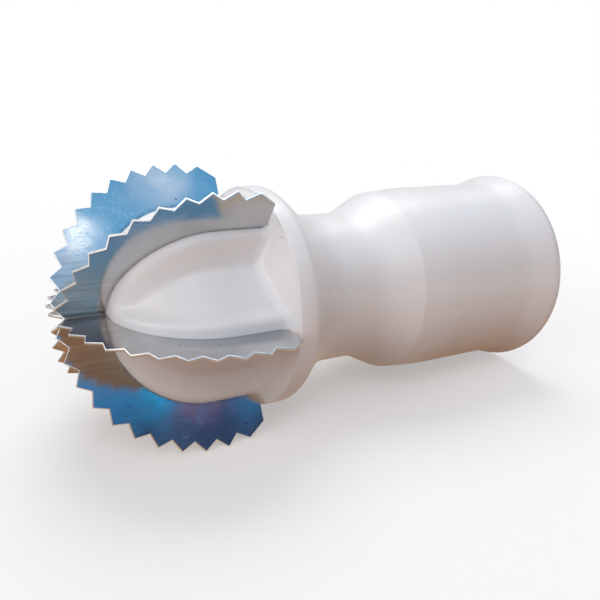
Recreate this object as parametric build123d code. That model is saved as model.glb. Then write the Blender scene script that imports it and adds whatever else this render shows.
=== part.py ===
"""Coconut scraper head that pushes onto the spindle of a tabletop wet grinder.

It lies on its side: the turning axis is X, the toothed head points to -X and the sleeve's open
mouth is at the origin, facing +X.  +Z is up and all sizes are millimetres.  Stations are distances
along the axis from the mouth, so station s is at x = -s.

The pieces are one white moulding, three U-shaped saw-toothed blades that lap through each other
at the nose and are moulded into six ribs, and a hexagonal drive bush moulded into the neck.
"""
from build123d import *
import math
import os

# ---- sleeve and neck of the moulding -------------------------------------------------------
SLEEVE_RADIUS = 22.6          # outside of the straight part of the sleeve
SLEEVE_BORE_RADIUS = 20.0     # inside of the sleeve, slides over the grinder's hub
SLEEVE_BORE_DEPTH = 43.0      # mouth to the inner floor
BEAD_RADIUS = 24.65           # widest part of the rolled lip
BEAD_STATION = 2.1            # where the lip is widest
BEAD_END_RADIUS = 24.25       # lip at the mouth face, before its chamfer
BEAD_FLARE_LENGTH = 7.2       # from the widest part of the lip down to the sleeve
BEAD_FLARE_ROUND = 18.0
BEAD_CROWN_ROUND = 3.0
MOUTH_CHAMFER = 0.7
TAPER_LENGTH = 9.1            # the sleeve draws in over this length, up to the shoulder
SHOULDER_SETBACK = 0.4        # corner of the shoulder to the inner floor
SHOULDER_RADIUS = 21.85
SHOULDER_ROUND = 2.2
SHOULDER_LENGTH = 8.6         # corner of the shoulder to the neck
NECK_RADIUS = 17.5
NECK_LENGTH = 13.8
NECK_ROUND = 12.0

# ---- flange behind the head ----------------------------------------------------------------
FLANGE_RAMP_LENGTH = 8.3      # neck to the back of the rim
FLANGE_RADIUS = 24.8
FLANGE_RIM_LENGTH = 4.4
FLANGE_BACK_ROUND = 3.0
FLANGE_EDGE_CHAMFER = 0.5     # front edge of the rim
FACE_LEAN = 30.6              # degrees that the front face leans back from square

# ---- ribbed dome ---------------------------------------------------------------------------
STRAIGHT_LENGTH = 12.7        # straight part of the ribs, from the flange to their quarter arcs
ARC_OFFSET = 2.0              # centre of the quarter arcs, from the axis
RIB_ARC_RADIUS = 20.0         # ribs: quarter arc, then straight back to the flange
RIB_HALF_THICKNESS = 1.9      # the four ribs that point up and down
PARTING_RIB_HALF_THICKNESS = 2.8   # the two ribs on the mould's parting plane
POCKET_DEPTH = 4.9            # rib rim down to the pocket floor
FLOOR_ANGLE = 45.0            # side pocket floors slope this much
DOME_ROOT_DEPTH = 5.5         # the dome's solids start this far behind the rim's front edge

# ---- saw-toothed blades --------------------------------------------------------------------
BLADE_THICKNESS = 0.6
TOOTH_TIP_RADIUS = 30.1       # of the tip arc, about the arc centre
TOOTH_DEPTH = 2.1
TOOTH_COUNT = 11              # on each leg of a blade
TOOTH_PITCH = 10.1            # degrees
FIRST_TOOTH = 2.9             # degrees from the axis direction
HEEL_GAP = 1.4                # square rear edge of the blades, ahead of the rim
HEEL_RADIUS = 28.3            # outer corner of that edge
HEEL_CROP_LONG = 2.4          # cropped inner corner of the front-lapped blade
HEEL_CROP_SHORT = 0.9         # the same on the two others
BLADE_ROOT_DEPTH = 5.0        # how deep the blades sit in the ribs
TAIL_DEPTH = 3.1              # the legs end in tails this far behind the rim's front edge
TAIL_WIDTH = 3.6
KEY_SLOT_LENGTH = 6.0         # the moulding flows through one in each leg and locks the blade
KEY_SLOT_WIDTH = 2.0
KEY_SLOT_ANGLE = 58.0         # degrees from the axis direction
REAR_LAP = 2.5                # length of nose where only the rear-lapped blade runs through
MIDDLE_LAP = 2.5              # the same for the middle one; the front one has the rest
LAP_CLEARANCE = 0.06
BLADE_FIT = 0.03              # gap between a blade and the moulding, each side

# ---- drive bush ----------------------------------------------------------------------------
BUSH_ACROSS_FLATS = 22.0
BUSH_LENGTH = 30.0
SPINDLE_BORE_RADIUS = 8.0
KEYWAY_WIDTH = 5.0
KEYWAY_DEPTH = 2.3            # beyond the bore
GROOVE_WIDTH = 3.0            # ring groove that holds the bush in the moulding
GROOVE_DEPTH = 1.2
GROOVE_FROM_END = 13.5
BUSH_CHAMFER = 0.6
BUSH_FIT = 0.03
POCKET_END_SPACE = 1.0        # space between the bush and the end of its pocket

# ---- worked out ----------------------------------------------------------------------------
SHOULDER_STATION = SLEEVE_BORE_DEPTH - SHOULDER_SETBACK
TAPER_STATION = SHOULDER_STATION - TAPER_LENGTH
NECK_START = SHOULDER_STATION + SHOULDER_LENGTH
NECK_END = NECK_START + NECK_LENGTH
FLANGE_BACK = NECK_END + FLANGE_RAMP_LENGTH
FLANGE_FRONT = FLANGE_BACK + FLANGE_RIM_LENGTH
FLANGE_FRONT_RADIUS = FLANGE_RADIUS - FLANGE_EDGE_CHAMFER
DOME_ROOT_STATION = FLANGE_FRONT - DOME_ROOT_DEPTH
TAIL_STATION = FLANGE_FRONT - TAIL_DEPTH
HEEL_STATION = FLANGE_FRONT + HEEL_GAP
ARC_STATION = FLANGE_FRONT + STRAIGHT_LENGTH      # centre of the ribs' and the teeth's arcs
RIB_RADIUS = ARC_OFFSET + RIB_ARC_RADIUS
FLOOR_OFFSET = ARC_OFFSET - POCKET_DEPTH
FAR = 60.0                    # half size of solids used only to cut or to bound
BLADE_ANGLES = {"front_lapped_blade": -30.0, "middle_lapped_blade": 30.0, "rear_lapped_blade": 90.0}


def at(station, radius):
    """Point of the half plane that holds the axis: x runs back from the head, z is the radius."""
    return (-station, radius)


def half_plane_face(edges):
    """Face in the XZ plane from its edges."""
    return Plane.XZ * make_face(Wire.combine(edges)[0])


def rounded_face(corners):
    """Face in the XZ plane through (station, radius, rounding) corners."""
    outline = [at(station, radius) for station, radius, _ in corners]
    face = make_face(Polyline(outline + outline[:1])).face()
    for station, radius, rounding in corners:
        if rounding:
            corner = Vector(*at(station, radius))
            vertex = min(face.vertices(), key=lambda v: (Vector(v) - corner).length)
            face = face.fillet_2d(rounding, [vertex])
    return Plane.XZ * face


def turned(face):
    return revolve(face, Axis.X, 360)


def face_station(radius):
    """Station of the flange's leaning front face at a radius."""
    return FLANGE_FRONT + (FLANGE_FRONT_RADIUS - radius) * math.tan(math.radians(FACE_LEAN))


def sleeve_and_flange():
    """Turned outside of the sleeve, shoulder, neck and flange."""
    floor_radius = RIB_RADIUS - POCKET_DEPTH
    return turned(rounded_face([
        (0, 0, 0),
        (0, BEAD_END_RADIUS - MOUTH_CHAMFER, 0),
        (MOUTH_CHAMFER, BEAD_END_RADIUS, 0),
        (BEAD_STATION, BEAD_RADIUS, BEAD_CROWN_ROUND),
        (BEAD_STATION + BEAD_FLARE_LENGTH, SLEEVE_RADIUS, BEAD_FLARE_ROUND),
        (TAPER_STATION, SLEEVE_RADIUS, 0),
        (SHOULDER_STATION, SHOULDER_RADIUS, SHOULDER_ROUND),
        (NECK_START, NECK_RADIUS, NECK_ROUND),
        (NECK_END, NECK_RADIUS, NECK_ROUND),
        (FLANGE_BACK, FLANGE_RADIUS, FLANGE_BACK_ROUND),
        (FLANGE_FRONT - FLANGE_EDGE_CHAMFER, FLANGE_RADIUS, 0),
        (FLANGE_FRONT, FLANGE_FRONT_RADIUS, 0),
        (face_station(floor_radius), floor_radius, 0),
        (face_station(floor_radius), 0, 0),
    ]))


def quarter_arc(radius, offset, start=90, end=0):
    """Arc about the arc centre, from the widest station towards the nose."""
    centre = at(ARC_STATION, offset)
    return CenterArc(centre, radius, 180 - start, start - end)


def arch_edges(offset):
    """Upper half of a head profile: straight back part, quarter arc, down to the axis."""
    nose_angle = -math.degrees(math.asin(offset / RIB_ARC_RADIUS))
    top = offset + RIB_ARC_RADIUS
    nose = ARC_STATION + math.sqrt(RIB_ARC_RADIUS ** 2 - offset ** 2)
    return [
        Line(at(DOME_ROOT_STATION, 0), at(DOME_ROOT_STATION, top)),
        Line(at(DOME_ROOT_STATION, top), at(ARC_STATION, top)),
        quarter_arc(RIB_ARC_RADIUS, offset, 90, nose_angle),
        Line(at(nose, 0), at(DOME_ROOT_STATION, 0)),
    ]


def long_arch(angle, offset):
    """Solid between a long arch whose crown faces the angle round the axis and its opposite."""
    upper = half_plane_face(arch_edges(offset))
    profile = upper + mirror(upper, Plane.XY)
    return Rot(X=angle) * extrude(profile, FAR, both=True)


def rib_rims():
    """Six-sided dome with one level side along each leg of the blades."""
    rims = None
    for angle in BLADE_ANGLES.values():
        arch = long_arch(angle, ARC_OFFSET)
        rims = rims & arch if rims else arch
    return rims


def side_floors():
    """Four sloping floors of the side pockets, meeting on the parting plane and at the crown."""
    return long_arch(FLOOR_ANGLE, FLOOR_OFFSET) & long_arch(-FLOOR_ANGLE, FLOOR_OFFSET)


def rib_block():
    """Upright-walled block under the four ribs that point up and down, drawn along Z."""
    lean = math.radians(BLADE_ANGLES["middle_lapped_blade"])
    scale = math.sin(lean)
    lip = RIB_HALF_THICKNESS * math.cos(lean)
    middle = ARC_OFFSET * scale + lip
    widest = RIB_RADIUS * scale + lip
    reach = RIB_ARC_RADIUS * scale
    back = -DOME_ROOT_STATION
    nose = -(ARC_STATION + RIB_ARC_RADIUS)
    quarter = EllipticalCenterArc((-ARC_STATION, middle), RIB_ARC_RADIUS, reach, 90, arc_size=90)
    edges = [
        Line((back, 0), (back, widest)),
        Line((back, widest), (-ARC_STATION, widest)),
        quarter,
        Line((nose, middle), (nose, 0)),
        Line((nose, 0), (back, 0)),
    ]
    half = make_face(Wire.combine(edges)[0])
    plan = half + mirror(half, Plane.XZ)
    return extrude(plan, FAR, both=True)


def parting_ribs():
    """Slab of the two ribs that lie on the parting plane."""
    length = ARC_STATION + RIB_ARC_RADIUS - DOME_ROOT_STATION
    middle = -(DOME_ROOT_STATION + length / 2)
    return Pos(middle, 0, 0) * Box(length, 2 * FAR, 2 * PARTING_RIB_HALF_THICKNESS)


def crown_pocket():
    """Scoop between the two upper ribs: leaning sides along the ribs, arched floor."""
    lean = BLADE_ANGLES["middle_lapped_blade"]
    side = math.sin(math.radians(lean))
    apex = RIB_HALF_THICKNESS / side
    reach = FAR * math.tan(math.radians(lean))
    wedge_face = make_face(Polyline((0, apex), (reach, apex + FAR), (-reach, apex + FAR), (0, apex)))
    wedge = extrude(Plane.YZ * wedge_face, 2 * FAR, both=True)
    return Pos(-ARC_STATION, 0, 0) * wedge - long_arch(0, FLOOR_OFFSET)


def ribbed_dome():
    core = side_floors() + rib_block() + parting_ribs()
    dome = rib_rims() & core
    pocket = crown_pocket()
    return dome - pocket - Rot(X=180) * pocket


def on_arc(radius, degrees):
    """Point of a leg at an angle from the axis direction, about the arc centre."""
    turn = math.radians(degrees)
    return at(ARC_STATION + radius * math.cos(turn), ARC_OFFSET + radius * math.sin(turn))


def axis_crossing(radius):
    """Station where an arc about the arc centre crosses the axis."""
    return ARC_STATION + math.sqrt(radius ** 2 - ARC_OFFSET ** 2)


def toothed_edge():
    """Zigzag from the valley that the legs share on the axis to the last tooth at the heel."""
    valley_radius = TOOTH_TIP_RADIUS - TOOTH_DEPTH
    points = [at(axis_crossing(valley_radius), 0)]
    for tooth in range(TOOTH_COUNT):
        tip = FIRST_TOOTH + tooth * TOOTH_PITCH
        points.append(on_arc(TOOTH_TIP_RADIUS, tip))
        if tooth < TOOTH_COUNT - 1:
            points.append(on_arc(valley_radius, tip + TOOTH_PITCH / 2))
    return points


def leg_face(heel_crop, gap):
    """One leg of a blade, from the axis to its tail; gap widens it for the slot it sits in."""
    root_arc = RIB_ARC_RADIUS - BLADE_ROOT_DEPTH - gap
    root_radius = ARC_OFFSET + root_arc
    tail_top = ARC_OFFSET + RIB_ARC_RADIUS - BLADE_ROOT_DEPTH + TAIL_WIDTH + gap
    crop_station = HEEL_STATION + heel_crop
    outline = toothed_edge() + [
        at(HEEL_STATION, HEEL_RADIUS),
        at(HEEL_STATION, RIB_RADIUS + heel_crop),
        at(crop_station - gap, RIB_RADIUS),
        at(crop_station - gap, tail_top),
        at(TAIL_STATION - gap, tail_top),
        at(TAIL_STATION - gap, root_radius),
        at(ARC_STATION, root_radius),
    ]
    nose_angle = -math.degrees(math.asin(ARC_OFFSET / root_arc))
    inner = axis_crossing(root_arc)
    edges = [Polyline(outline), quarter_arc(root_arc, ARC_OFFSET, 90, nose_angle)]
    edges.append(Line(at(inner, 0), outline[0]))
    face = half_plane_face(edges)
    x, z = on_arc(RIB_ARC_RADIUS - BLADE_ROOT_DEPTH / 2, KEY_SLOT_ANGLE)
    slot = Rectangle(KEY_SLOT_LENGTH - 2 * gap, KEY_SLOT_WIDTH - 2 * gap)
    return face - Plane.XZ * Pos(x, z) * Rot(Z=90 - KEY_SLOT_ANGLE) * slot


def blade_plate(heel_crop, gap=0.0):
    """Whole U-shaped plate upright in the XZ plane, with no lap slots."""
    leg = extrude(leg_face(heel_crop, gap), BLADE_THICKNESS / 2 + gap, both=True)
    return leg + Rot(X=180) * leg


def lap_band(start, end):
    """Box round the axis over a stretch of the nose where only one blade runs through."""
    width = BLADE_THICKNESS * math.sqrt(3) + 2 * LAP_CLEARANCE
    length = end - start + LAP_CLEARANCE
    return Pos(-(start + end) / 2, 0, 0) * Box(length, width, width)


def lap_bands():
    """The three stretches of the nose, each under the name of the blade that runs through it."""
    root = axis_crossing(RIB_ARC_RADIUS - BLADE_ROOT_DEPTH)
    middle = root + REAR_LAP
    front = middle + MIDDLE_LAP
    tip = ARC_STATION + TOOTH_TIP_RADIUS
    return {
        "rear_lapped_blade": lap_band(root - REAR_LAP, middle),
        "middle_lapped_blade": lap_band(middle, front),
        "front_lapped_blade": lap_band(front, tip),
    }


def blade(name):
    """Blade with slots at the nose wherever another blade runs through."""
    crop = HEEL_CROP_LONG if name == "front_lapped_blade" else HEEL_CROP_SHORT
    plate = blade_plate(crop)
    for owner, band in lap_bands().items():
        if owner != name:
            plate -= band
    return Rot(X=BLADE_ANGLES[name]) * plate


def blade_slots():
    """Room for the three blades in the moulding."""
    long_plate = blade_plate(HEEL_CROP_LONG, BLADE_FIT)
    short_plate = blade_plate(HEEL_CROP_SHORT, BLADE_FIT)
    slots = Rot(X=BLADE_ANGLES["front_lapped_blade"]) * long_plate
    for name in ("middle_lapped_blade", "rear_lapped_blade"):
        slots += Rot(X=BLADE_ANGLES[name]) * short_plate
    return slots


def bush_outside(gap=0.0):
    """Hexagonal bar with a ring groove; gap widens it for its seat."""
    flat = BUSH_ACROSS_FLATS / 2 + gap
    hexagon = RegularPolygon(flat, 6, major_radius=False)
    bar = extrude(Plane.YZ * hexagon, -BUSH_LENGTH)
    ring = Circle(flat * 2) - Circle(BUSH_ACROSS_FLATS / 2 - GROOVE_DEPTH + gap)
    groove = extrude(Plane.YZ * ring, -(GROOVE_WIDTH - 2 * gap))
    bar -= Pos(-(GROOVE_FROM_END + gap), 0, 0) * groove
    return Pos(-SLEEVE_BORE_DEPTH, 0, 0) * bar


def drive_bush():
    """Bush with a keyed bore for the grinder's spindle."""
    reach = SPINDLE_BORE_RADIUS + KEYWAY_DEPTH
    bore = Circle(SPINDLE_BORE_RADIUS) + Pos(0, reach / 2) * Rectangle(KEYWAY_WIDTH, reach)
    hole = extrude(Plane.YZ * bore, -BUSH_LENGTH)
    bush = bush_outside() - Pos(-SLEEVE_BORE_DEPTH, 0, 0) * hole
    mouth = Plane.YZ.offset(-SLEEVE_BORE_DEPTH)
    lead_in = extrude(mouth * Circle(SPINDLE_BORE_RADIUS + BUSH_CHAMFER), -BUSH_CHAMFER, taper=45)
    return bush - lead_in


def body_hollow():
    """Sleeve bore, the bush's seat and the space behind the bush."""
    hollow = extrude(Plane.YZ * Circle(SLEEVE_BORE_RADIUS), -SLEEVE_BORE_DEPTH)
    hollow += bush_outside(BUSH_FIT)
    end_space = extrude(Plane.YZ * Circle(SPINDLE_BORE_RADIUS), -POCKET_END_SPACE)
    hollow += Pos(-(SLEEVE_BORE_DEPTH + BUSH_LENGTH), 0, 0) * end_space
    return hollow


def scraper_body():
    return sleeve_and_flange() + ribbed_dome() - body_hollow() - blade_slots()


def write(name, shape):
    solids = shape.solids()
    print(name, "solids", len(solids), "volume", round(shape.volume, 1))
    export_step(shape, os.path.join("parts", name + ".step"))


def main():
    os.makedirs("parts", exist_ok=True)
    write("scraper_body", scraper_body())
    write("drive_bush", drive_bush())
    for name in BLADE_ANGLES:
        write(name, blade(name))


main()
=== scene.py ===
# %% [markdown]
# # Coconut scraper attachment
# The real object is a white moulded plastic sleeve with a ribbed dome on its end.  Three
# U-shaped, saw-toothed steel plates are moulded into the dome's ribs and lap through each other
# at the nose.  It pushes onto the spindle of a tabletop grinder and scrapes coconut halves.
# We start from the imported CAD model.  It fixes where everything is, so every piece that we build
# here lands on the CAD's own place with no fitting.

# %% Load the frame
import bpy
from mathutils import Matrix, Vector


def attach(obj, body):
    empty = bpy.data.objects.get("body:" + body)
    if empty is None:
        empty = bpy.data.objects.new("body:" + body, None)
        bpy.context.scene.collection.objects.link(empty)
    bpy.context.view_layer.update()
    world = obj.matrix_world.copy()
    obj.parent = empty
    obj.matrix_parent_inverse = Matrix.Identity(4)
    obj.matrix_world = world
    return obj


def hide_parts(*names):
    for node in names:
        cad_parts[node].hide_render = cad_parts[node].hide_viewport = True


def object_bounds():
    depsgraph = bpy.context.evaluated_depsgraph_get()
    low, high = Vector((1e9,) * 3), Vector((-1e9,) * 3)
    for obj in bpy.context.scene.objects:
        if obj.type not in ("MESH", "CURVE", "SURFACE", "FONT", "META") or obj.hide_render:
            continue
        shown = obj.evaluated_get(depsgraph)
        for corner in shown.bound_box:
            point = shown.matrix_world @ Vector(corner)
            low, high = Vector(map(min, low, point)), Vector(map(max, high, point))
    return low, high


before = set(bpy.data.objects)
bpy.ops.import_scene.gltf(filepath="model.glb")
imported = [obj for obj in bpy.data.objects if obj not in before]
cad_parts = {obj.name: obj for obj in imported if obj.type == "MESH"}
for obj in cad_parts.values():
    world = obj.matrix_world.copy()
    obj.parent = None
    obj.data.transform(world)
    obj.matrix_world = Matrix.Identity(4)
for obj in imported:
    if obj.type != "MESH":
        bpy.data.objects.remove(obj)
print("nodes:", sorted(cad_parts))

# %% The tools that the cells share
import bmesh
import bpy
import math
import numpy as np
from mathutils import Matrix, Vector

MM = 0.001


def link_object(name, data):
    """New object round a mesh, a lamp or a camera, placed in the scene."""
    piece = bpy.data.objects.new(name, data)
    bpy.context.scene.collection.objects.link(piece)
    return piece


def link_mesh(name, bm):
    """New object made of a finished bmesh."""
    mesh = bpy.data.meshes.new(name)
    bm.to_mesh(mesh)
    bm.free()
    return link_object(name, mesh)


cad_low, cad_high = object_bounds()
print("CAD box in mm:", [round((b - a) / MM, 2) for a, b in zip(cad_low, cad_high)])

# %% [markdown]
# ## The camera
# The photograph looks down a little at the toothed end, from close by, so the head looms larger
# than the sleeve.  A long lens from far away would lose that.  The place and the lens come from
# matching the tips and valleys of the teeth, so they are typed in as measured.

# %% Camera
camera_data = bpy.data.cameras.new("view_camera")
camera_data.sensor_width = 36.0
camera_data.lens = 44.99
camera_data.clip_start = 0.01
camera = link_object("view_camera", camera_data)
camera.location = (-0.15366, -0.14298, 0.05534)
camera.rotation_euler = [math.radians(a) for a in (71.034, -3.644, -31.230)]
bpy.context.scene.camera = camera
to_nose = (camera.location - Vector((cad_low.x, 0, 0))).length
print("camera to nose in mm:", round(to_nose / MM, 1))

# %% [markdown]
# ## The sizes
# These are the sizes of the moulding and the blades in millimetres, the same as in the CAD
# source.  A station is a distance along the axis from the sleeve's open mouth, so station s lies
# at x = -s.  Angles go round the axis from straight up, towards the viewer.

# %% Sizes of the moulding
SLEEVE_BORE_RADIUS = 20.0
SLEEVE_BORE_DEPTH = 43.0
SLEEVE_RADIUS = 22.6
BEAD_RADIUS = 24.65
BEAD_CROWN_STATION = 2.1
NECK_RADIUS = 17.5
NECK_ROUND = 12.0
FLANGE_RADIUS = 24.8
FLANGE_FRONT = 77.7
FLANGE_FRONT_RADIUS = 24.3
FACE_LEAN = math.radians(30.6)
ARC_STATION = 90.4
ARC_OFFSET = 2.0
RIB_ARC_RADIUS = 20.0
RIB_HALF_THICKNESS = 1.9
PARTING_RIB_HALF_THICKNESS = 2.8
POCKET_DEPTH = 4.9
BUSH_FLAT = 11.0
BUSH_LENGTH = 30.0
BUSH_SEAT_GAP = 0.03
SPINDLE_RADIUS = 8.0
POCKET_END_SPACE = 1.0
RIM_RADIUS = ARC_OFFSET + RIB_ARC_RADIUS
print("rib rims lie at radius", RIM_RADIUS)

# %% Sizes of the blades
BLADE_THICKNESS = 0.6
TOOTH_TIP_RADIUS = 30.1
TOOTH_DEPTH = 2.1
TOOTH_COUNT = 11
TOOTH_PITCH = math.radians(10.1)
FIRST_TOOTH = math.radians(2.9)
HEEL_STATION = 79.1
HEEL_RADIUS = 28.3
BLADE_ROOT_DEPTH = 5.0
TAIL_STATION = 74.6
TAIL_WIDTH = 3.6
REAR_LAP = 2.5
MIDDLE_LAP = 2.5
LAP_HALF_WIDTH = 0.58
BLADE_ANGLES = {
    "front_lapped_blade": -30.0, "middle_lapped_blade": 30.0, "rear_lapped_blade": 90.0,
}
HEEL_CROPS = {
    "front_lapped_blade": 2.4, "middle_lapped_blade": 0.9, "rear_lapped_blade": 0.9,
}
print("teeth on each blade:", 2 * TOOTH_COUNT)

# %% [markdown]
# ## The moulding, part 1: the turned profile
# The sleeve, its rolled lip, the shoulder, the waist and the flange are one turned shape.  We
# write its corners with a rounding for each, as a maker would dimension it, and turn every corner
# into a true arc.  A subdivision surface could round it too, but would shrink the radii that we
# have measured.

# %% Corners to arcs
def rounded_line(corners, step):
    """Points along (station, radius, rounding) corners, with each rounding as an arc."""
    points = []
    for i, (station, radius, rounding) in enumerate(corners):
        corner = Vector((station, radius))
        if not rounding:
            points.append(corner)
            continue
        back = (Vector(corners[i - 1][:2]) - corner).normalized()
        ahead = (Vector(corners[i + 1][:2]) - corner).normalized()
        half = back.angle(ahead) / 2
        centre = corner + (back + ahead).normalized() * (rounding / math.sin(half))
        arm = corner + back * (rounding / math.tan(half)) - centre
        sweep = math.copysign(math.pi - 2 * half, back.y * ahead.x - back.x * ahead.y)
        count = max(3, math.ceil(rounding * abs(sweep) / step))
        for k in range(count + 1):
            turned = Vector(arm)
            turned.rotate(Matrix.Rotation(sweep * k / count, 2))
            points.append(centre + turned)
    return points


OUTSIDE_STEP = 0.8
OUTSIDE = [
    (FLANGE_FRONT, FLANGE_FRONT_RADIUS, 0), (FLANGE_FRONT, FLANGE_RADIUS, 0.35),
    (73.3, FLANGE_RADIUS, 3.0), (65.0, NECK_RADIUS, NECK_ROUND),
    (51.2, NECK_RADIUS, NECK_ROUND), (42.6, 21.85, 2.2),
    (33.5, SLEEVE_RADIUS, 60.0), (9.3, SLEEVE_RADIUS, 18.0),
    (BEAD_CROWN_STATION, BEAD_RADIUS, 3.0), (0.0, 24.2, 1.1), (0.0, 22.0, 0),
]
outside = rounded_line(OUTSIDE, OUTSIDE_STEP)
print("rings on the turned outside:", len(outside))

# %% [markdown]
# ## The moulding, part 2: the ribbed dome
# The dome is a round nose with six scooped pockets between the ribs that hold the blades.  The
# mould opens up and down, so the outer walls of the four upper and lower ribs stand upright and
# the side pockets' floors slope.  Blending solids in code gives the soft fillets of a moulding:
# each surface is written as a distance, and a smooth minimum or maximum joins two of them with a
# fillet.  Boolean modifiers and bevels would leave sharp or broken corners here.

# %% Distances with soft joins
def join(a, b, soft):
    """Union of two distances, with a fillet in the corner between them."""
    return np.minimum(a, b) - np.maximum(soft - np.abs(a - b), 0) ** 2 / (4 * soft)


def cut(a, b, soft):
    """Common part of two distances, with a rounded edge."""
    return -join(-a, -b, soft)


def arch(station, height, offset):
    """Distance to a straight crown that turns down in a quarter arc towards the nose."""
    ahead = np.maximum(station - ARC_STATION, 0)
    return np.hypot(ahead, height - offset) - RIB_ARC_RADIUS


below_crown = float(arch(ARC_STATION, ARC_OFFSET, ARC_OFFSET))
print("an arch's crown is above its centre by:", -below_crown)


# %% The dome as one distance
CREASE_ROUND = 0.4
FILLET = 0.7
RIM_ROUND = 1.3
FLANGE_FILLET = 1.5
PARTING_RIB_FILLET = 2.0
CROWN_RIM_ROUND = 3.2
S30, C30, S45 = 0.5, math.cos(math.radians(30)), math.sqrt(0.5)


def rib_plan(station, y):
    """Distance to the upright walls outside the four upper and lower ribs."""
    middle = ARC_OFFSET / 2 + RIB_HALF_THICKNESS * C30
    reach = RIB_ARC_RADIUS / 2
    straight = y - (middle + reach)
    u = np.maximum(station - ARC_STATION, 0) / RIB_ARC_RADIUS ** 2
    v = np.maximum(y - middle, 0) / reach ** 2
    size = np.sqrt(u * u * RIB_ARC_RADIUS ** 2 + v * v * reach ** 2)
    curved = (size - 1) * size / np.maximum(np.hypot(u, v), 1e-6)
    return np.where(station > ARC_STATION, curved, straight)


def dome(station, radius, turn):
    """Distance to the ribbed dome: negative inside, for arrays in millimetres and radians."""
    y = np.abs(radius * np.sin(turn))
    z = np.abs(radius * np.cos(turn))
    rims = arch(station, y, ARC_OFFSET)
    for height in (z * C30 + y * S30, np.abs(z * C30 - y * S30)):
        rims = cut(rims, arch(station, height, ARC_OFFSET), CREASE_ROUND)
    floor_offset = ARC_OFFSET - POCKET_DEPTH
    floors = cut(arch(station, (y + z) * S45, floor_offset),
                 arch(station, np.abs(y - z) * S45, floor_offset), CREASE_ROUND)
    crown_floor = arch(station, z, floor_offset)
    crown_side = RIB_HALF_THICKNESS - (z * S30 - y * C30)
    core = join(floors, rib_plan(station, y), FILLET)
    core = join(core, z - PARTING_RIB_HALF_THICKNESS, PARTING_RIB_FILLET)
    pocket = cut(crown_side, -crown_floor, FILLET)
    sides = cut(core, rims, RIM_ROUND)
    return cut(sides, -pocket, CROWN_RIM_ROUND)


def head(station, radius, turn):
    """Distance to the dome together with the flange's leaning front face."""
    face = (station - FLANGE_FRONT) - (FLANGE_FRONT_RADIUS - radius) * math.tan(FACE_LEAN)
    return join(dome(station, radius, turn), face * math.cos(FACE_LEAN), FLANGE_FILLET)


at_a_rim = dome(np.array(85.0), np.array(RIM_RADIUS), np.array(math.pi / 2))
print("distance at a rib's rim:", round(float(at_a_rim), 3))

# %% [markdown]
# ## The moulding, part 3: the skin
# Seen from the axis, every part of the dome shows, so one skin of rings does for the whole
# moulding.  Along each ray from the axis we search for the place where the distance is zero.  The
# rays crowd together at the pockets' steep walls, where evenly spaced ones would leave steps.

# %% Rays round the axis
RAY_COUNT = 420
FINE_STEPS = 7200
RAY_CROWDS = ((24.5, 2.0, 7.0), (36.0, 4.0, 2.5), (46.0, 4.0, 2.0), (83.0, 2.5, 4.0))


def ray_angles():
    """Angles round the axis, with crowds of (degrees from upright, width, weight) at the ribs."""
    fine = np.linspace(0, 2 * math.pi, FINE_STEPS + 1)
    fold = np.degrees(np.arccos(np.abs(np.cos(fine))))
    crowd = np.full_like(fine, 1.0)
    for place, width, weight in RAY_CROWDS:
        crowd += weight * np.exp(-((fold - place) / width) ** 2)
    total = np.concatenate([[0], np.cumsum((crowd[1:] + crowd[:-1]) / 2)])
    rays = np.interp(np.linspace(0, total[-1], RAY_COUNT, endpoint=False), total, fine)
    corners = np.radians(np.arange(30, 360, 60))
    return np.unique(np.concatenate([rays, corners]))


rays = ray_angles()
print("rays:", len(rays))


# %% Rings of the head
PAST_EVERYTHING = 30.0
HALVINGS = 32
NOSE_TRIES = 2001
FACE_RINGS_FROM = 82.6
ARC_RINGS, CROWN_RINGS, FACE_RINGS = 64, 18, 30


def zero_radius(station):
    """Radius of the head's surface along every ray, by halving."""
    low = np.zeros_like(rays)
    high = np.full_like(rays, PAST_EVERYTHING)
    for _ in range(HALVINGS):
        middle = (low + high) / 2
        inside = head(np.full_like(rays, station), middle, rays) < 0
        low = np.where(inside, middle, low)
        high = np.where(inside, high, middle)
    return low


def nose_station():
    """Where the axis leaves the dome."""
    tries = np.linspace(ARC_STATION, ARC_STATION + RIB_ARC_RADIUS, NOSE_TRIES)
    inside = dome(tries, np.zeros_like(tries), np.zeros_like(tries)) < 0
    return float(tries[inside].max())


nose = nose_station()
arc_steps = np.sin(np.linspace(math.pi / 2, 0, ARC_RINGS))[1:]
head_stations = list(ARC_STATION + (nose - ARC_STATION) * arc_steps)
head_stations += list(np.linspace(ARC_STATION, FACE_RINGS_FROM, CROWN_RINGS))[1:]
head_stations += list(np.linspace(FACE_RINGS_FROM, FLANGE_FRONT, FACE_RINGS))[1:-1]
head_rings = [(s, zero_radius(s)) for s in head_stations]
print("nose station:", round(nose, 2), "rings on the head:", len(head_rings))


# %% [markdown]
# ## The moulding, part 4: the inside
# Looking into the open mouth shows the bore, its floor and the hexagonal bush.  The same rays
# serve for the hexagon, because six of them point at its corners.

# %% Rings of the inside
INSIDE_STEP = 0.4
seat_end = SLEEVE_BORE_DEPTH + BUSH_LENGTH
pocket_end = seat_end + POCKET_END_SPACE
INSIDE = [
    (0.0, 21.0, 0), (0.0, SLEEVE_BORE_RADIUS, 0.6),
    (SLEEVE_BORE_DEPTH, SLEEVE_BORE_RADIUS, 0.8), (SLEEVE_BORE_DEPTH, 15.0, 0),
]


def circles(points):
    """Round rings of (station, radii) through (station, radius) points."""
    return [(station, np.full_like(rays, radius)) for station, radius in points]


def hexagon(flat):
    """Radius of a hexagon with flats facing up and down, along every ray."""
    fold = np.mod(rays + math.pi / 6, math.pi / 3) - math.pi / 6
    return flat / np.cos(fold)


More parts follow.
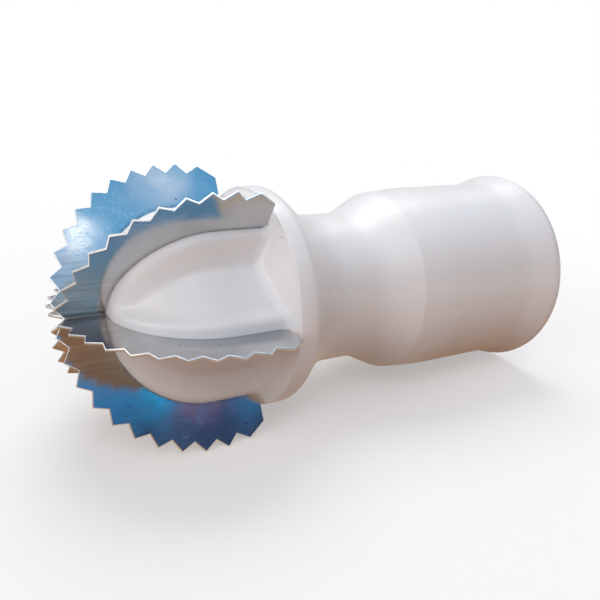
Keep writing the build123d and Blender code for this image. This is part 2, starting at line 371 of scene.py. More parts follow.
seat = hexagon(BUSH_FLAT + BUSH_SEAT_GAP)
inside_rings = circles(rounded_line(INSIDE, INSIDE_STEP))
inside_rings += [(SLEEVE_BORE_DEPTH, seat), (seat_end, seat)]
inside_rings += circles([(seat_end, SPINDLE_RADIUS), (pocket_end, SPINDLE_RADIUS)])
print("rings inside:", len(inside_rings))


# %% Build the skin
SHARP_FROM = math.radians(38)


def skin(name, rings, first_station, last_station):
    """Closed mesh through rings of (station, radii), with a pole at each end."""
    bm = bmesh.new()
    loops = []
    for station, radii in rings:
        loop = [bm.verts.new((-station * MM, -r * math.sin(t) * MM, r * math.cos(t) * MM))
                for r, t in zip(radii, rays)]
        loops.append(loop)
    count = len(rays)
    for a, b in zip(loops, loops[1:]):
        for k in range(count):
            n = (k + 1) % count
            bm.faces.new((a[k], a[n], b[n], b[k]))
    for station, loop in ((first_station, loops[0]), (last_station, loops[-1])):
        pole = bm.verts.new((-station * MM, 0, 0))
        for k in range(count):
            bm.faces.new((loop[k], loop[(k + 1) % count], pole))
    bmesh.ops.recalc_face_normals(bm, faces=bm.faces)
    return link_mesh(name, bm)


moulding = skin("moulding", head_rings + circles(outside) + inside_rings, nose, pocket_end)
moulding.data.shade_smooth()
moulding.data.set_sharp_from_angle(angle=SHARP_FROM)
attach(moulding, "root")
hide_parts("scraper_body")
print("moulding faces:", len(moulding.data.polygons))

# %% [markdown]
# ## The blades
# Each blade is a flat U of stainless sheet, punched with eleven teeth a leg.  Two of them have a
# slot on the axis, where the third runs through.  The outline is worked out from the same sizes
# as the CAD, filled, thickened and given the tiny rolled edge that punching leaves.  That edge
# is what catches the light along every tooth.

# %% Outline of one leg
ROOT_ARC_RADIUS = RIB_ARC_RADIUS - BLADE_ROOT_DEPTH
ROOT_STEP = 6
VALLEY_RADIUS = TOOTH_TIP_RADIUS - TOOTH_DEPTH


def on_arc(radius, turn):
    """Point (station, distance from the axis) at an angle about the blade's arc centre."""
    return (ARC_STATION + radius * math.cos(turn), ARC_OFFSET + radius * math.sin(turn))


def axis_crossing(radius):
    """Station where an arc of the blade meets the axis."""
    return ARC_STATION + math.sqrt(radius ** 2 - ARC_OFFSET ** 2)


def toothed_edge():
    """Tips and valleys from the nose to the heel, without the shared valley on the axis."""
    points = []
    for tooth in range(TOOTH_COUNT):
        turn = FIRST_TOOTH + tooth * TOOTH_PITCH
        points.append(on_arc(TOOTH_TIP_RADIUS, turn))
        if tooth < TOOTH_COUNT - 1:
            points.append(on_arc(VALLEY_RADIUS, turn + TOOTH_PITCH / 2))
    return points


def leg_outline(crop):
    """From the first tooth round the heel and the tail to the root's arc, ending at the axis."""
    root = ARC_OFFSET + ROOT_ARC_RADIUS
    tail_top = root + TAIL_WIDTH
    points = toothed_edge()
    points += [(HEEL_STATION, HEEL_RADIUS), (HEEL_STATION, RIM_RADIUS + crop)]
    points += [(HEEL_STATION + crop, RIM_RADIUS), (HEEL_STATION + crop, tail_top)]
    points += [(TAIL_STATION, tail_top), (TAIL_STATION, root)]
    points += [on_arc(ROOT_ARC_RADIUS, math.radians(a)) for a in range(90, 0, -ROOT_STEP)]
    return points


print("points on one leg:", len(leg_outline(HEEL_CROPS["rear_lapped_blade"])))


# %% Whole outline and plate
SLOT_MOUTH = 0.2
EDGE_ROLL = 0.11
CORNER_FROM = 1.2


def blade_outline(name):
    """Closed outline of a blade as (station, signed distance from the axis)."""
    leg = leg_outline(HEEL_CROPS[name])
    other = [(s, -d) for s, d in reversed(leg)]
    valley = axis_crossing(VALLEY_RADIUS)
    root = axis_crossing(ROOT_ARC_RADIUS)
    if name == "front_lapped_blade":
        return leg + [(root, 0)] + other + [(valley, 0)]
    end = root + REAR_LAP
    if name == "middle_lapped_blade":
        end += MIDDLE_LAP
    edge = valley - SLOT_MOUTH
    slot = [(edge, -LAP_HALF_WIDTH), (end, -LAP_HALF_WIDTH),
            (end, LAP_HALF_WIDTH), (edge, LAP_HALF_WIDTH)]
    return leg + [(root, 0)] + other + slot


def plate(name, outline, angle):
    """Sheet of the blades' thickness with rolled edges, turned round the axis."""
    bm = bmesh.new()
    half = BLADE_THICKNESS / 2 * MM
    turn = math.radians(angle)
    out = Vector((0, -math.sin(turn), math.cos(turn)))
    side = Vector((0, math.cos(turn), math.sin(turn)))
    flat = bm.faces.new([bm.verts.new(Vector((-s * MM, 0, 0)) + out * d * MM - side * half)
                         for s, d in outline])
    grown = bmesh.ops.extrude_face_region(bm, geom=[flat])
    moved = [g for g in grown["geom"] if isinstance(g, bmesh.types.BMVert)]
    bmesh.ops.translate(bm, verts=moved, vec=side * half * 2)
    bmesh.ops.recalc_face_normals(bm, faces=bm.faces)
    sheet_faces = [f for f in bm.faces if abs(f.normal.dot(side)) > 0.9]
    rims = [e for e in bm.edges if len(e.link_faces) == 2 and e.calc_face_angle() > CORNER_FROM
            and any(f in sheet_faces for f in e.link_faces)]
    bmesh.ops.bevel(bm, geom=rims, offset=EDGE_ROLL * MM, segments=2, profile=0.5,
                    affect="EDGES")
    bmesh.ops.triangulate(bm, faces=[f for f in bm.faces if len(f.verts) > 4])
    bm.normal_update()
    for face in bm.faces:
        face.material_index = 0 if abs(face.normal.dot(side)) > 0.999 else 1
        face.smooth = face.material_index == 1
    for edge in bm.edges:
        edge.smooth = len({f.material_index for f in edge.link_faces}) == 1
    return link_mesh(name, bm)


blades = {}
for node, angle in BLADE_ANGLES.items():
    blades[node] = plate(node.replace("blade", "plate"), blade_outline(node), angle)
    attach(blades[node], "root")
    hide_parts(node)
    print(node, "faces:", len(blades[node].data.polygons))

# %% [markdown]
# ## Nodes in short
# A material or an effect is a web of nodes, and most of its lines would only set one socket
# each.  A few helpers write a node with everything that goes into it in one line.  Whatever they
# are given for a socket may be a plain value, which is set, or another socket, which is linked.

# %% Helpers for nodes
def feed(tree, socket, value):
    """Link a socket into another one, or set it to a plain value."""
    if isinstance(value, bpy.types.NodeSocket):
        tree.links.new(value, socket)
    else:
        socket.default_value = value


def add(tree, kind, sockets=None, **settings):
    """New node with its settings, and with its sockets fed by name or by number."""
    node = tree.nodes.new("ShaderNode" + kind)
    for key, value in settings.items():
        setattr(node, key, value)
    for key, value in (sockets or {}).items():
        feed(tree, node.inputs[key], value)
    return node


def calc(tree, operation, *values, clamp=False):
    """Result of a Math node."""
    sockets = dict(enumerate(values))
    return add(tree, "Math", sockets, operation=operation, use_clamp=clamp).outputs[0]


def remap(tree, value, first, last, low=0.0, high=1.0, shape="LINEAR"):
    """Result of a Map Range node, which turns `first` to `last` into `low` to `high`."""
    sockets = {"Value": value, "From Min": first, "From Max": last, "To Min": low, "To Max": high}
    return add(tree, "MapRange", sockets, interpolation_type=shape).outputs[0]


def mix_colours(tree, factor, first, second):
    """Mix of two colours, each a plain colour or a socket."""
    first, second = ((*c, 1.0) if isinstance(c, tuple) else c for c in (first, second))
    return add(tree, "Mix", {0: factor, 6: first, 7: second}, data_type="RGBA").outputs[2]


print("helpers for sums and mixes:", calc.__name__, remap.__name__, mix_colours.__name__)


# %% Helpers for places
def place_on(tree, kind="Object"):
    """Where a point is on its piece, in metres, or as a share of the piece's box."""
    return add(tree, "TexCoord").outputs[kind]


def parts_of(tree, vector):
    """X, Y and Z of a vector."""
    return add(tree, "SeparateXYZ", {"Vector": vector}).outputs


def length(tree, vector):
    """Length of a vector."""
    return add(tree, "VectorMath", {0: vector}, operation="LENGTH").outputs["Value"]


def noise(tree, vector, scale, detail=2.0):
    """Cloudy noise between 0 and 1."""
    sockets = {"Vector": vector, "Scale": scale, "Detail": detail}
    return add(tree, "TexNoise", sockets).outputs["Fac"]


def soft_ball(tree, centre, radius):
    """1 at the centre, falling to 0 at the radius."""
    sockets = {"Vector": place_on(tree), "Location": [-c / radius for c in centre],
               "Scale": [1 / radius] * 3}
    moved = add(tree, "Mapping", sockets).outputs[0]
    return add(tree, "TexGradient", {"Vector": moved}, gradient_type="SPHERICAL").outputs["Fac"]


print("helpers for places:", place_on.__name__, noise.__name__, soft_ball.__name__)

# %% [markdown]
# ## Shared effects
# The plastic and the steel are both scratched by handling, vary a little in tone and carry specks
# of dirt.  Each of these effects is a node group, built once and placed in several materials with
# its own values.  Two more groups measure where a point lies on the tool, so that dirt and wear
# can follow its shape: one for planes through the axis, and one for the blades.

# %% A helper for node groups
def new_group(name, inputs, outputs):
    """Empty node group of float sockets: the group, what it is given, and its results."""
    group = bpy.data.node_groups.new(name, "ShaderNodeTree")
    for label, value in inputs.items():
        socket = group.interface.new_socket(label, in_out="INPUT", socket_type="NodeSocketFloat")
        socket.default_value = value
    for label in outputs:
        group.interface.new_socket(label, in_out="OUTPUT", socket_type="NodeSocketFloat")
    given = group.nodes.new("NodeGroupInput").outputs
    results = group.nodes.new("NodeGroupOutput").inputs
    return group, given, results


def place_group(tree, group, **values):
    """Outputs of a group placed in a material with its own values."""
    return add(tree, "Group", values, node_tree=group).outputs


print("helpers for groups:", new_group.__name__, place_group.__name__)


# %% Fine scratches
SCRATCH_SETS = ((6, 3, 16, 0.0), (-82, 25, 12, 0.3), (-40, -15, 14, 0.7))


def make_scratches():
    """Scratches in sets of (rise, swing, length, offset): a mask, and a height below 0."""
    group, given, results = new_group("handling_scratches", {"Scale": 1800.0, "Amount": 0.5},
                                      ("Mask", "Height"))
    place = place_on(group)
    lines = 0.0
    for rise, swing, stretch, offset in SCRATCH_SETS:
        sockets = {"Vector": place, "Location": (offset, offset, 0.0),
                   "Rotation": (0.0, math.radians(rise), math.radians(swing)),
                   "Scale": (stretch, 1.0, 1.0)}
        stretched = add(group, "Mapping", sockets, vector_type="TEXTURE").outputs[0]
        line = remap(group, noise(group, stretched, given["Scale"], 1.0), 0.63, 0.76)
        lines = calc(group, "MAXIMUM", lines, line)
    patch = remap(group, noise(group, place, 70.0), 0.35, 0.70, 0.25)
    mask = calc(group, "MULTIPLY", calc(group, "MULTIPLY", lines, patch), given["Amount"])
    feed(group, results["Mask"], mask)
    feed(group, results["Height"], calc(group, "MULTIPLY", mask, -1.0))
    return group


scratches = make_scratches()
print("group:", scratches.name)


# %% Specks of dirt
def make_specks():
    """Small round specks in a share of the cells of a scattered pattern."""
    group, given, results = new_group("dirt_specks", {"Scale": 100.0, "Size": 0.03, "Share": 0.3},
                                      ("Mask",))
    sockets = {"Vector": place_on(group), "Scale": given["Scale"]}
    cells = add(group, "TexVoronoi", sockets).outputs
    dot = remap(group, calc(group, "DIVIDE", cells["Distance"], given["Size"]), 1.0, 0.5)
    chance = add(group, "SeparateColor", {"Color": cells["Color"]}).outputs[0]
    kept = calc(group, "LESS_THAN", chance, given["Share"])
    feed(group, results["Mask"], calc(group, "MULTIPLY", dot, kept))
    return group


specks = make_specks()
print("group:", specks.name)


# %% Uneven tone
def make_unevenness():
    """Soft cloudy variation between 0 and 1."""
    group, given, results = new_group("uneven_tone", {"Scale": 40.0, "Contrast": 1.0}, ("Value",))
    cloud = noise(group, place_on(group), given["Scale"], 4.0)
    centred = calc(group, "SUBTRACT", cloud, 0.5)
    spread = calc(group, "MULTIPLY_ADD", centred, given["Contrast"], 0.5, clamp=True)
    feed(group, results["Value"], spread)
    return group


unevenness = make_unevenness()
print("group:", unevenness.name)


# %% Bands by distance from a plane through the axis
def make_seam_band():
    """1 near a plane through the axis, fading to 0: the plane's normal leans by Turn from +Y."""
    group, given, results = new_group("seam_band", {"Turn": 0.0, "Width": 0.0005}, ("Mask",))
    parts = parts_of(group, place_on(group))
    along_y = calc(group, "MULTIPLY", parts["Y"], calc(group, "COSINE", given["Turn"]))
    sine = calc(group, "SINE", given["Turn"])
    off_plane = calc(group, "MULTIPLY_ADD", parts["Z"], sine, along_y)
    share = calc(group, "DIVIDE", calc(group, "ABSOLUTE", off_plane), given["Width"])
    feed(group, results["Mask"], calc(group, "SUBTRACT", 1.0, share, clamp=True))
    return group


seam_band = make_seam_band()
print("group:", seam_band.name)


# %% Marks that follow the blade's shape
NOSE_CENTRE = (-0.1175, 0.0, 0.0)
STREAK_STRETCH = 0.07
STREAK_SCALE = 1100.0


def make_blade_marks():
    """Masks by place on a blade, streaks that run along the axis, and how far off it a point is."""
    names = ("Rim", "Lap", "Beside", "Nose", "Streaks", "Away")
    group, given, results = new_group("blade_marks", {"Rim Width": 0.0007}, names)
    place = place_on(group)
    parts = parts_of(group, place)
    across = add(group, "CombineXYZ", {"Y": parts["Y"], "Z": parts["Z"]}).outputs[0]
    away = length(group, across)
    feed(group, results["Away"], away)

    ahead = calc(group, "SUBTRACT", -ARC_STATION * MM, parts["X"])
    sockets = {"X": calc(group, "MAXIMUM", ahead, 0.0),
               "Y": calc(group, "SUBTRACT", away, ARC_OFFSET * MM)}
    reach = length(group, add(group, "CombineXYZ", sockets).outputs[0])
    over_rim = calc(group, "SUBTRACT", reach, RIB_ARC_RADIUS * MM)
    share = calc(group, "DIVIDE", over_rim, given["Rim Width"])
    feed(group, results["Rim"], calc(group, "SUBTRACT", 1.0, share, clamp=True))

    sockets = {"X": calc(group, "MULTIPLY", parts["X"], STREAK_STRETCH), "Y": away}
    plane = add(group, "CombineXYZ", sockets).outputs[0]
    streaks = remap(group, noise(group, plane, STREAK_SCALE, 3.0), 0.35, 0.65)
    feed(group, results["Streaks"], streaks)

    sockets = {0: place, 1: NOSE_CENTRE}
    from_nose = length(group, add(group, "VectorMath", sockets, operation="SUBTRACT").outputs[0])
    for label, distance, full, gone in (("Lap", away, 0.0005, 0.0008),
                                        ("Beside", away, 0.0009, 0.0022),
                                        ("Nose", from_nose, 0.006, 0.019)):
        feed(group, results[label], remap(group, distance, gone, full, shape="SMOOTHSTEP"))
    return group


blade_marks = make_blade_marks()
print("group:", blade_marks.name)


# %% Helpers for materials
def new_material(name, values):
    """Material with one Principled shader, its plain values set on the shader's own sockets."""
    material = bpy.data.materials.new(name)
    material.use_nodes = True
    tree = material.node_tree
    shader = tree.nodes["Principled BSDF"]
    for key, value in values.items():
        shader.inputs[key].default_value = value
    return material, tree, shader


def bump(tree, shader, height, strength, distance):
    """Raise the surface by a height, with a Bump node."""
    sockets = {"Height": height, "Strength": strength, "Distance": distance}
    feed(tree, shader.inputs["Normal"], add(tree, "Bump", sockets).outputs[0])


def seen_white(tree):
    """1 for a ray from the camera, a mirror or glass, which sees a plain white background."""
    path = add(tree, "LightPath").outputs
    seen = calc(tree, "MAXIMUM", path["Is Camera Ray"], path["Is Glossy Ray"])
    return calc(tree, "MAXIMUM", seen, path["Is Transmission Ray"])


print("helpers for materials:", new_material.__name__, bump.__name__, seen_white.__name__)

# %% [markdown]
# ## The white plastic
# It is a glossy moulding, a little translucent, so light creeps into its edges.  Its white is
# slightly uneven, with a few dark specks moulded in, fine scratches, and a faint ridge where the
# halves of the mould met.  Along the rims, where the blades go in, a thin dark line is painted:
# old food, and painted shade where blade and plastic meet.

# %% Plastic material
PLASTIC_WHITES = ((0.860, 0.845, 0.845), (0.900, 0.893, 0.900))
PLASTIC_SPECK = (0.33, 0.29, 0.27)
RIM_GRIME_AND_SHADE = (0.30, 0.26, 0.24)
GRIME_AND_SHADE_FROM = -0.0788
RIDGE_UNTIL = -0.077


def make_plastic():
    """White glossy plastic with specks, grime and painted shade at the blades, scratches, the
    mould's ridge.
    """
    material, tree, shader = new_material("white_plastic", {
        "Roughness": 0.3, "IOR": 1.49, "Subsurface Weight": 0.12,
        "Subsurface Radius": (1.0, 0.75, 0.6), "Subsurface Scale": 0.002})
    tone = place_group(tree, unevenness, Scale=55.0, Contrast=1.6)
    colour = mix_colours(tree, tone["Value"], *PLASTIC_WHITES)
    dots = place_group(tree, specks, Scale=190.0, Size=0.05, Share=0.3)
    colour = mix_colours(tree, calc(tree, "MULTIPLY", dots["Mask"], 0.6), colour, PLASTIC_SPECK)
    along = parts_of(tree, place_on(tree))["X"]
    on_dome = calc(tree, "LESS_THAN", along, GRIME_AND_SHADE_FROM)
    # Dark band along each blade on the dome: grime, and painted shade where blade meets plastic.
    for angle in BLADE_ANGLES.values():
        band = place_group(tree, seam_band, Turn=math.radians(angle), Width=0.0006)
        grime_and_shade = calc(tree, "MULTIPLY", calc(tree, "MULTIPLY", band["Mask"], on_dome), 0.6)
        colour = mix_colours(tree, grime_and_shade, colour, RIM_GRIME_AND_SHADE)
    feed(tree, shader.inputs["Base Color"], colour)
    scratch = place_group(tree, scratches, Scale=1100.0, Amount=0.5)
    feed(tree, shader.inputs["Roughness"], remap(tree, scratch["Mask"], 0.0, 1.0, 0.3, 0.5))

    ridge = place_group(tree, seam_band, Turn=math.radians(90), Width=0.00018)
    off_dome = calc(tree, "GREATER_THAN", along, RIDGE_UNTIL)
    seam = calc(tree, "MULTIPLY", ridge["Mask"], off_dome)
    peel = place_group(tree, unevenness, Scale=900.0, Contrast=1.0)
    peel_height = calc(tree, "MULTIPLY", peel["Value"], 0.06)
    height = calc(tree, "MULTIPLY_ADD", seam, 0.6, peel_height)
    scratch_depth = calc(tree, "MULTIPLY", scratch["Height"], 0.1)
    bump(tree, shader, calc(tree, "ADD", height, scratch_depth), 0.35, 0.0002)
    return material


plastic = make_plastic()
moulding.data.materials.append(plastic)
print("material:", plastic.name)

# %% [markdown]
# ## The steel
# The sheet is bright rolled stainless steel.  It mirrors the sky and the table, a little bent,
# because thin sheet is never quite flat.  The middle blade's legs are bowed most, which a slope in
# the Bump node shows with no change to the outline.  Handling has scratched the sheet finely.
# Crumbs stick to it along the ribs.  A painted highlight and a painted shadow line mark the lap on
# the axis, where the bend catches the light.  A thin streaky film dried round the nose is painted
# warm and dull, and this also paints a lift and a warm tint into the reflections there.  The
# punched edges are duller and paler than the faces, and have a material of their own.

# %% Sheet steel
STEEL_GREYS = ((0.48, 0.485, 0.495), (0.56, 0.565, 0.575))
FILM_AND_SHEEN_TONES = ((0.50, 0.47, 0.44), (0.74, 0.67, 0.62))
FILM_AND_SHEEN_DULLS = 0.13
SCRATCH_PALE = (0.80, 0.80, 0.81)
STEEL_SPECK = (0.08, 0.07, 0.07)
CRUMBS = (0.16, 0.13, 0.12)
LAP_SHADOW = (0.20, 0.19, 0.19)
LAP_HIGHLIGHT = (0.92, 0.91, 0.90)
SHEET_BUMP = 0.5
SHEET_BUMP_DISTANCE = 0.0007


def sheet_colour(tree, marks, scratch):
    """Steel grey, film and painted sheen round the nose, scratches, specks, crumbs, painted lap
    light and shade.
    """
    tone = place_group(tree, unevenness, Scale=70.0, Contrast=2.0)
    dots = place_group(tree, specks, Scale=330.0, Size=0.09, Share=0.6)
    lumps = place_group(tree, unevenness, Scale=1400.0, Contrast=3.0)
    stuck = calc(tree, "MULTIPLY", marks["Rim"], lumps["Value"])
    # Streaky film round the nose, partly a painted lift and warm tint of the reflections there.
    film_and_sheen = mix_colours(tree, marks["Streaks"], *FILM_AND_SHEEN_TONES)
    colour = mix_colours(tree, tone["Value"], *STEEL_GREYS)
    colour = mix_colours(tree, marks["Nose"], colour, film_and_sheen)
    # LAP_SHADOW is a painted shadow line beside the lap; the scratches, specks and crumbs are real
    # marks.
    for mask, share, tint in ((scratch["Mask"], 0.45, SCRATCH_PALE),
                              (dots["Mask"], 0.75, STEEL_SPECK),
                              (stuck, 0.55, CRUMBS), (marks["Beside"], 0.45, LAP_SHADOW)):
        colour = mix_colours(tree, calc(tree, "MULTIPLY", mask, share), colour, tint)
    # Painted highlight along the lap on the axis, where the bend would catch the light.
    return mix_colours(tree, marks["Lap"], colour, LAP_HIGHLIGHT)


def make_sheet_steel(name, bow):
    """Bright sheet; `bow` is the slope that a leg's bend gives its faces."""
    material, tree, shader = new_material(name, {"Metallic": 1.0, "Roughness": 0.1})
    marks = place_group(tree, blade_marks)
    scratch = place_group(tree, scratches, Scale=2600.0, Amount=1.0)
    feed(tree, shader.inputs["Base Color"], sheet_colour(tree, marks, scratch))
    # The film and painted sheen round the nose make the steel less metallic there.
    bare = calc(tree, "MULTIPLY_ADD", marks["Nose"], -FILM_AND_SHEEN_DULLS, 1.0)
    feed(tree, shader.inputs["Metallic"], bare)

    haze = place_group(tree, unevenness, Scale=140.0, Contrast=2.2)
    rough = remap(tree, haze["Value"], 0.0, 1.0, 0.08, 0.17)
    for mask, share in ((scratch["Mask"], 0.10), (marks["Lap"], 0.4)):
        rough = calc(tree, "ADD", rough, calc(tree, "MULTIPLY", mask, share))
    feed(tree, shader.inputs["Roughness"], rough)

    wave = place_group(tree, unevenness, Scale=16.0, Contrast=1.0)
    height = calc(tree, "MULTIPLY_ADD", scratch["Height"], 0.006, wave["Value"])
    bend = bow / (SHEET_BUMP * SHEET_BUMP_DISTANCE)
    height = calc(tree, "MULTIPLY_ADD", marks["Away"], bend, height)
    bump(tree, shader, height, SHEET_BUMP, SHEET_BUMP_DISTANCE)
    return material


sheet_steel = make_sheet_steel("blade_steel", 0.0)
bowed_steel = make_sheet_steel("bowed_blade_steel", -0.075)
print("materials:", sheet_steel.name, bowed_steel.name)


# %% Punched edges
EDGE_GREYS = ((0.74, 0.74, 0.74), (0.90, 0.90, 0.90))


def make_cut_steel():
    """Pale, matt and grainy steel where the punch has sheared it."""
    material, tree, shader = new_material("punched_edge_steel",
                                          {"Metallic": 1.0, "Roughness": 0.35})
    tone = place_group(tree, unevenness, Scale=900.0, Contrast=2.0)
    feed(tree, shader.inputs["Base Color"], mix_colours(tree, tone["Value"], *EDGE_GREYS))
    grain = place_group(tree, scratches, Scale=4000.0, Amount=1.0)
    bump(tree, shader, grain["Height"], 0.3, 0.0002)
    return material


cut_steel = make_cut_steel()
for node, piece in blades.items():
    bowed = node == "middle_lapped_blade"
    piece.data.materials.append(bowed_steel if bowed else sheet_steel)
    piece.data.materials.append(cut_steel)
    print(node, "materials:", [m.name for m in piece.data.materials])

# %% [markdown]
# ## The drive bush
# The hexagonal bush deep in the sleeve is a CAD node whose shape is already right, so it stays
# and gets a turned brass finish: fine rings round the axis and a little tarnish.

# %% Bush material
BRASS_TONES = ((0.60, 0.44, 0.22), (0.80, 0.64, 0.36))


def make_brass():
    """Brass with a little tarnish and the fine rings of turning."""
    material, tree, shader = new_material("bush_metal", {"Metallic": 1.0, "Roughness": 0.3})
    tone = place_group(tree, unevenness, Scale=120.0, Contrast=2.0)
    feed(tree, shader.inputs["Base Color"], mix_colours(tree, tone["Value"], *BRASS_TONES))
    sockets = {"Vector": place_on(tree), "Scale": 900.0, "Distortion": 1.5}
    rings = add(tree, "TexWave", sockets, wave_type="RINGS", rings_direction="X")
    bump(tree, shader, rings.outputs["Fac"], 0.2, 0.0001)
    return material


brass = make_brass()
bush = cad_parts["drive_bush"]
bush.data.materials.clear()
bush.data.materials.append(brass)
print("material:", brass.name)

# %% [markdown]
# ## The floor
# The tool lies on its side, on two teeth and on the lip of the sleeve, so it leans by about two
# degrees.  The frame keeps its axis level, so the floor leans instead.  It is a plain pale sheet
# that keeps the shadow, and fades to the white of the background.  Light that bounces off it is
# warm, as from a wooden table.

# %% Floor
FLOOR_HALF_SIZE = 1.6
BEAD_REST_RADIUS = 24.6
rest_tooth = (-ARC_STATION * MM, cad_low.z)
rest_lip = (-BEAD_CROWN_STATION * MM, -BEAD_REST_RADIUS * MM)
floor_slope = math.atan2(rest_lip[1] - rest_tooth[1], rest_lip[0] - rest_tooth[0])


def sheet(name, squares, size, width=1.0, height=1.0):
    """Flat grid of faces with a half size, stretched to a width and a height."""
    bm = bmesh.new()
    bmesh.ops.create_grid(bm, x_segments=squares, y_segments=squares, size=size)
    bmesh.ops.scale(bm, verts=bm.verts, vec=(width, height, 1))
    return link_mesh(name, bm)


floor = sheet("floor", 8, FLOOR_HALF_SIZE)
floor.location = (rest_tooth[0], 0, rest_tooth[1])
floor.rotation_euler = (0, -floor_slope, 0)
print("floor leans by degrees:", round(math.degrees(floor_slope), 2))


# %% Floor material
FLOOR_PALE = (0.94, 0.93, 0.92, 1)
FLOOR_WARM = (0.41, 0.265, 0.19, 1)
WHITE = (1, 1, 1, 1)
FADE_FROM, FADE_TO = 0.04, 0.26
FADE_LEAST = 0.35


def make_floor_material():
    """Pale with the shadow near the tool and white far off, and warm for the light it returns."""
    material, tree, shader = new_material("pale_floor", {
        "Roughness": 0.9, "Specular IOR Level": 0.0, "Base Color": FLOOR_PALE})
    warm = add(tree, "BsdfDiffuse", {"Color": FLOOR_WARM}).outputs[0]
    white = add(tree, "Emission", {"Color": WHITE}).outputs[0]
    away = length(tree, place_on(tree))
    fade = remap(tree, away, FADE_FROM, FADE_TO, FADE_LEAST, shape="SMOOTHSTEP")
    pale = add(tree, "MixShader", {0: fade, 1: shader.outputs[0], 2: white}).outputs[0]
    both = add(tree, "MixShader", {0: seen_white(tree), 1: warm, 2: pale}).outputs[0]
    feed(tree, tree.nodes["Material Output"].inputs["Surface"], both)
    return material


floor.data.materials.append(make_floor_material())
print("material:", floor.data.materials[0].name)

# %% [markdown]
# ## Light
# A big soft lamp overhead, a warmer one off the nose, one in front and a dim even surround give
# the plain light of a studio.  Mirror steel only looks like steel when it has something to
# mirror.  Cards that only reflections can see stand where the blades look: part of a sphere for
# the sky, with a dark skyline, clouds and coloured spots, a grey wall behind, a bright window and
# a wooden table top.  Lamps alone would leave the blades flat white.

# %% Surround
SURROUND_COLOUR = (0.97, 0.955, 1.0, 1)
SURROUND_STRENGTH = 0.38
world = bpy.data.worlds.new("surround")
bpy.context.scene.world = world
world.use_nodes = True
tree = world.node_tree
ambient = tree.nodes["Background"]
ambient.inputs["Color"].default_value = SURROUND_COLOUR
ambient.inputs["Strength"].default_value = SURROUND_STRENGTH
white = add(tree, "Background", {"Color": WHITE}).outputs[0]
both = add(tree, "MixShader", {0: seen_white(tree), 1: ambient.outputs[0], 2: white}).outputs[0]
feed(tree, tree.nodes["World Output"].inputs["Surface"], both)
bpy.context.scene.view_settings.view_transform = "Standard"
print("surround strength:", SURROUND_STRENGTH)


# %% Lamps
LAMPS = (
    ("overhead_lamp", (0.06, 0.36, 0.73), 0.6, 3.6, (0.94, 0.97, 1.0)),
    ("nose_lamp", (-0.82, -0.22, 0.34), 0.5, 1.9, (1.0, 0.97, 0.95)),
    ("front_lamp", (-0.34, -0.56, 0.68), 0.5, 1.6, (0.95, 0.97, 1.0)),
)
tool_middle = (cad_low + cad_high) / 2


def soft_lamp(name, place, size, watts, colour):
    """Round lamp of a size in metres that shines on the middle of the tool."""
    data = bpy.data.lights.new(name, "AREA")
    data.shape = "DISK"
    data.size = size
    data.energy = watts
    data.color = colour
    lamp = link_object(name, data)
    lamp.location = place
    lamp.rotation_euler = (tool_middle - Vector(place)).to_track_quat("-Z", "Y").to_euler()
    return lamp


print("lamps:", [soft_lamp(*lamp).name for lamp in LAMPS])


# %% Reflection cards
CARD_CENTRE = Vector((-0.095, 0, 0))
DOME_COLUMNS, DOME_ROWS = 37, 15


def make_glow(piece, build, strength):
    """Make a card glow in the colours of `build`, and show it to reflections only."""
    for kind in ("camera", "diffuse", "shadow", "transmission"):
        setattr(piece, "visible_" + kind, False)
    material = bpy.data.materials.new(piece.name)
    material.use_nodes = True
    tree = material.node_tree
    tree.nodes.clear()
    glow = add(tree, "Emission", {"Color": build(tree), "Strength": strength}).outputs[0]
    add(tree, "OutputMaterial", {"Surface": glow})
    piece.data.materials.append(material)
    return piece


def way_to(azimuth, elevation):
    """Direction from an azimuth and an elevation in degrees."""
    a, e = math.radians(azimuth), math.radians(elevation)
    return Vector((math.cos(e) * math.cos(a), math.cos(e) * math.sin(a), math.sin(e)))


def flat_card(name, azimuth, elevation, distance, width, height, build, strength):
    """Flat card facing the blades from a direction."""
    piece = make_glow(sheet(name, 4, 0.5, width, height), build, strength)
    way = way_to(azimuth, elevation)
    piece.location = CARD_CENTRE + way * distance
    piece.rotation_euler = way.to_track_quat("Z", "Y").to_euler()
    return piece


def sky_dome(name, azimuths, elevations, distance, build, strength):
    """Part of a sphere round the blades, between two azimuths and two elevations."""
    bm = bmesh.new()
    rows = [[bm.verts.new(way_to(a, e) * distance) for a in np.linspace(*azimuths, DOME_COLUMNS)]
            for e in np.linspace(*elevations, DOME_ROWS)]
    for low_row, high_row in zip(rows, rows[1:]):
        for k in range(len(low_row) - 1):
            bm.faces.new((low_row[k], low_row[k + 1], high_row[k + 1], high_row[k]))
    piece = make_glow(link_mesh(name, bm), build, strength)
    piece.location = CARD_CENTRE
    return piece


print("cards stand round:", tuple(CARD_CENTRE))


# %% Colours of the sky
SKY_DISTANCE = 0.5
SKY_STEPS = [
    (0.38, (0.04, 0.07, 0.15)), (0.442, (0.04, 0.09, 0.19)), (0.473, (0.04, 0.26, 0.57)),
    (0.50, (0.06, 0.25, 0.54)), (0.62, (0.12, 0.38, 0.72)), (0.72, (0.14, 0.50, 0.87)),
    (0.92, (0.34, 0.56, 0.78)),
]
SKY_SPOTS = [
    ((0.111, -0.335, 0.354), 0.021, 1.5, (2.3, 2.4, 2.4)),
    ((0.097, -0.352, 0.341), 0.026, 1.2, (0.55, 0.68, 0.90)),
    ((0.179, -0.290, 0.370), 0.030, 1.4, (0.95, 1.10, 1.30)),
    ((0.156, -0.413, 0.234), 0.021, 1.1, (0.02, 0.62, 1.15)),
    ((0.186, -0.408, 0.222), 0.014, 1.6, (1.0, 0.24, 0.24)),
    ((0.221, -0.399, 0.204), 0.016, 1.4, (0.06, 0.38, 0.80)),
]


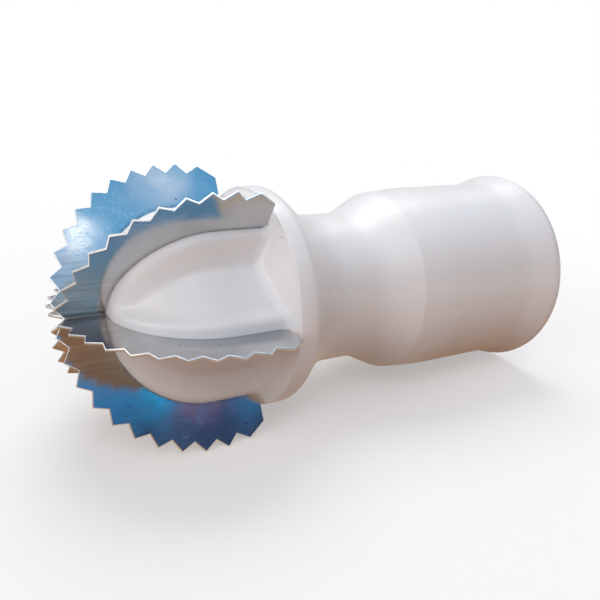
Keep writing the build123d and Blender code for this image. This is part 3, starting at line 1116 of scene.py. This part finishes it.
def add_ramp(tree, share, steps):
    """Colour from a ramp of (place, colour) steps."""
    ramp = add(tree, "ValToRGB", {"Fac": share})
    stops = ramp.color_ramp.elements
    for k, (at, colour) in enumerate(steps):
        stop = stops[k] if k < 2 else stops.new(at)
        stop.position = at
        stop.color = (*colour, 1)
    return ramp.outputs["Color"]


def add_spot(tree, colour, centre, radius, strength, tint):
    """Spot of a tint laid over a colour."""
    ball = soft_ball(tree, centre, radius)
    share = calc(tree, "MULTIPLY", ball, strength, clamp=True)
    return mix_colours(tree, share, colour, tint)


def sky_colours(tree):
    """Dark at the skyline, sky blue above it, with clouds and with cyan, pink and blue spots."""
    height = parts_of(tree, place_on(tree))["Z"]
    up = calc(tree, "MULTIPLY", height, 1 / SKY_DISTANCE)
    colour = add_ramp(tree, up, SKY_STEPS)
    for spot in SKY_SPOTS:
        colour = add_spot(tree, colour, *spot)
    return colour


sky_card = sky_dome("sky_card", (-160, 20), (3, 84), SKY_DISTANCE, sky_colours, 1.2)
print("card:", sky_card.name, "with spots:", len(SKY_SPOTS))


# %% Colours of the wall, the window and the table
WALL_STEPS = [(0.0, (0.50, 0.48, 0.48)), (1.0, (0.42, 0.44, 0.50))]
PANE_TONES = ((0.5, 0.5, 0.52), (1.0, 1.0, 1.0))
PANE_RADIUS = 1 / 4.5
WOOD_TONES = ((0.43, 0.25, 0.13), (0.54, 0.32, 0.18))
WOOD_PALE = (0.66, 0.54, 0.44)
PALE_RADIUS = 1 / 22
PALE_CENTRE = (0.9 * PALE_RADIUS, 2.1 * PALE_RADIUS, 0)
TABLE_PLACE = (-0.10, -0.13, -0.0280)


def grey_colours(tree):
    """Warm grey wall, a little bluer towards one side."""
    return add_ramp(tree, parts_of(tree, place_on(tree, "Generated"))["X"], WALL_STEPS)


def window_colours(tree):
    """Plain white pane, a little dimmer towards its rim."""
    return mix_colours(tree, soft_ball(tree, (0, 0, 0), PANE_RADIUS), *PANE_TONES)


def table_colours(tree):
    """Light brown wood, uneven along its grain, paler under the tool."""
    grain = place_group(tree, unevenness, Scale=30.0, Contrast=1.5)
    wood = mix_colours(tree, grain["Value"], *WOOD_TONES)
    return add_spot(tree, wood, PALE_CENTRE, PALE_RADIUS, 3.0, WOOD_PALE)


back_card = flat_card("back_card", 68, 24, 0.5, 0.6, 0.45, grey_colours, 1.0)
window_card = flat_card("window_card", 50, 50, 0.6, 0.35, 0.35, window_colours, 4.0)
table_card = flat_card("table_card", -90, -60, 0.1, 0.40, 0.36, table_colours, 1.0)
table_card.location = TABLE_PLACE
table_card.rotation_euler = (0, -floor_slope, 0)
print("cards:", back_card.name, window_card.name, table_card.name)
